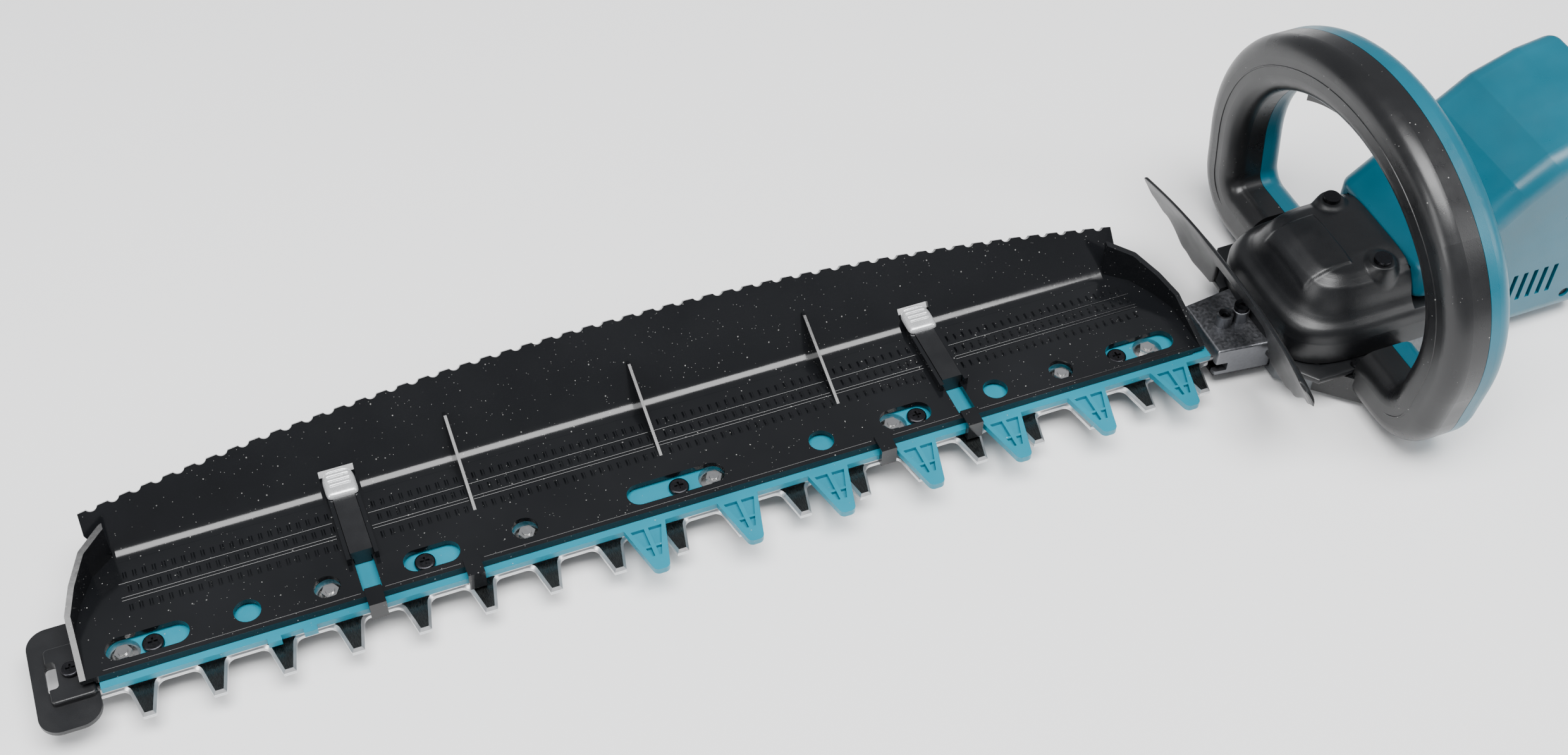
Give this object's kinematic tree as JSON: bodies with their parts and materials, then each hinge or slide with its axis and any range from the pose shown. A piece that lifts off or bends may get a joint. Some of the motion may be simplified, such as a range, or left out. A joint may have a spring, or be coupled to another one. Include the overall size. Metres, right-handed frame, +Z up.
{
  "type": "cordless hedge trimmer",
  "caption": "Long-bladed powered hedge trimmer with comb guard, chip tray, hand guard, looped front handle, motor housing, rear grip and rear battery.",
  "frame": {"origin": "middle of the rest foot's underside, straight below the crank axis", "axes": "-X points to the blade tip, +X to the battery, +Z up, and Y=0 is the blade's centreline"},
  "size_m": [1.139, 0.2522, 0.187],
  "materials": {
    "blade_steel": "ground teeth, laser cut sides",
    "guide_steel": "cold rolled",
    "zinc_steel": "bright zinc plated",
    "teal_light": "moulded, fine texture",
    "teal_dark": "moulded, fine texture",
    "black_steel": "black oxide",
    "gloss_black": "polished moulding",
    "black_plastic": "fine spark texture",
    "silver_plastic": "silver coated",
    "cast_case": "die cast",
    "cast_alloy": "die cast, machined faces",
    "dark_cast": "dark coated die casting",
    "dark_sheet": "dark coated sheet steel",
    "black_rubber": "ribbed",
    "soft_black": "soft elastomer, satin",
    "ground_steel": "ground",
    "gear_steel": "oiled",
    "motor_iron": "laminated",
    "spring_steel": "drawn wire",
    "heatsink": "extruded",
    "cell_sleeve": "shrink sleeve"
  },
  "bodies": {
    "machine": {"guide_bar": "guide_steel", "blade_bolts": "zinc_steel", "blade_washers": "zinc_steel", "blade_nuts": "zinc_steel", "comb_guard": "teal_light", "comb_screws": "black_steel", "chip_tray": "gloss_black", "tray_edge_hooks": "gloss_black", "tip_guard": "black_plastic", "tip_guard_screw": "black_steel", "gear_base": "cast_case", "rest_foot": "black_rubber", "bearing_plate": "cast_alloy", "plate_screws": "zinc_steel", "crank_bearings": "ground_steel", "motor_stator": "motor_iron", "motor_end_cap": "cast_alloy", "motor_bearings": "ground_steel", "nose_bracket": "dark_cast", "nose_screws": "black_steel", "under_cover": "dark_sheet", "gear_cover": "black_plastic", "gear_cover_screws": "black_steel", "hand_guard": "black_plastic", "guard_screws": "black_steel", "front_grip": "soft_black", "front_handle_shell": "teal_dark", "handle_screws": "black_steel", "front_microswitch": "black_plastic", "housing_left": "teal_dark", "housing_right": "teal_dark", "housing_screws": "black_steel", "rear_grip_pad": "soft_black", "trigger_pin": "ground_steel", "trigger_spring": "spring_steel", "main_switch": "black_plastic", "controller_box": "heatsink", "terminal_block": "black_plastic"},
    "upper_shear": {"upper_blade": "blade_steel"},
    "lower_shear": {"lower_blade": "blade_steel"},
    "crank": {"crank_shaft": "ground_steel", "crank_gear": "gear_steel"},
    "rotor": {"motor_pinion": "gear_steel", "motor_shaft": "ground_steel", "motor_rotor": "motor_iron", "motor_fan": "black_plastic"},
    "front_latch": {"latch_bar_front": "black_plastic", "latch_cap_front": "silver_plastic"},
    "rear_latch": {"latch_bar_rear": "black_plastic", "latch_cap_rear": "silver_plastic"},
    "front_lever": {"front_switch_lever": "black_plastic"},
    "trigger": {"trigger": "black_plastic"},
    "lock_off": {"lock_off_button": "black_plastic"},
    "battery": {"battery_case": "black_plastic", "battery_cells": "cell_sleeve"},
    "battery_button": {"battery_release_button": "silver_plastic"}
  },
  "joints": [
    {"name": "crank_spin", "type": "hinge", "parent": "machine", "child": "crank", "pos_m": [0, 0, 0.03], "axis": [0, 0, 1], "continuous": true},
    {"name": "motor_spin", "type": "hinge", "parent": "machine", "child": "rotor", "pos_m": [0.04375, 0, 0.03], "axis": [0, 0, 1], "continuous": true},
    {"name": "upper_blade_slide", "type": "slide", "parent": "machine", "child": "upper_shear", "axis": [1, 0, 0], "range_m": [-0.00875, 0.00875]},
    {"name": "lower_blade_slide", "type": "slide", "parent": "machine", "child": "lower_shear", "axis": [1, 0, 0], "range_m": [-0.00875, 0.00875]},
    {"name": "front_latch_slide", "type": "slide", "parent": "machine", "child": "front_latch", "axis": [0, 1, 0], "range_m": [0, 0.004], "stiffness_N_per_m": 500, "springref_m": -0.004},
    {"name": "rear_latch_slide", "type": "slide", "parent": "machine", "child": "rear_latch", "axis": [0, 1, 0], "range_m": [0, 0.004], "stiffness_N_per_m": 500, "springref_m": -0.004},
    {"name": "front_lever_press", "type": "slide", "parent": "machine", "child": "front_lever", "axis": [0, 0, 1], "range_m": [0, 0.004], "stiffness_N_per_m": 800, "springref_m": -0.003},
    {"name": "trigger_squeeze", "type": "hinge", "parent": "machine", "child": "trigger", "pos_m": [0.175, 0, 0.119], "axis": [0, -1, 0], "range_deg": [0, 12], "stiffness_Nm_per_rad": 0.6, "springref_deg": -20.05, "deforming": ["trigger_spring"]},
    {"name": "lock_off_press", "type": "slide", "parent": "machine", "child": "lock_off", "axis": [0, 0, -1], "range_m": [0, 0.003], "stiffness_N_per_m": 800, "springref_m": -0.003},
    {"name": "battery_slide", "type": "slide", "parent": "machine", "child": "battery", "axis": [0, 0, 1], "range_m": [0, 0.09]},
    {"name": "battery_button_press", "type": "slide", "parent": "battery", "child": "battery_button", "axis": [-1, 0, 0], "range_m": [0, 0.003], "stiffness_N_per_m": 800, "springref_m": -0.003}
  ],
  "couplings": [
    {"joint": "motor_spin", "follows": "crank_spin", "ratio": -4},
    {"joint": "lower_blade_slide", "follows": "upper_blade_slide", "ratio": -1}
  ]
}
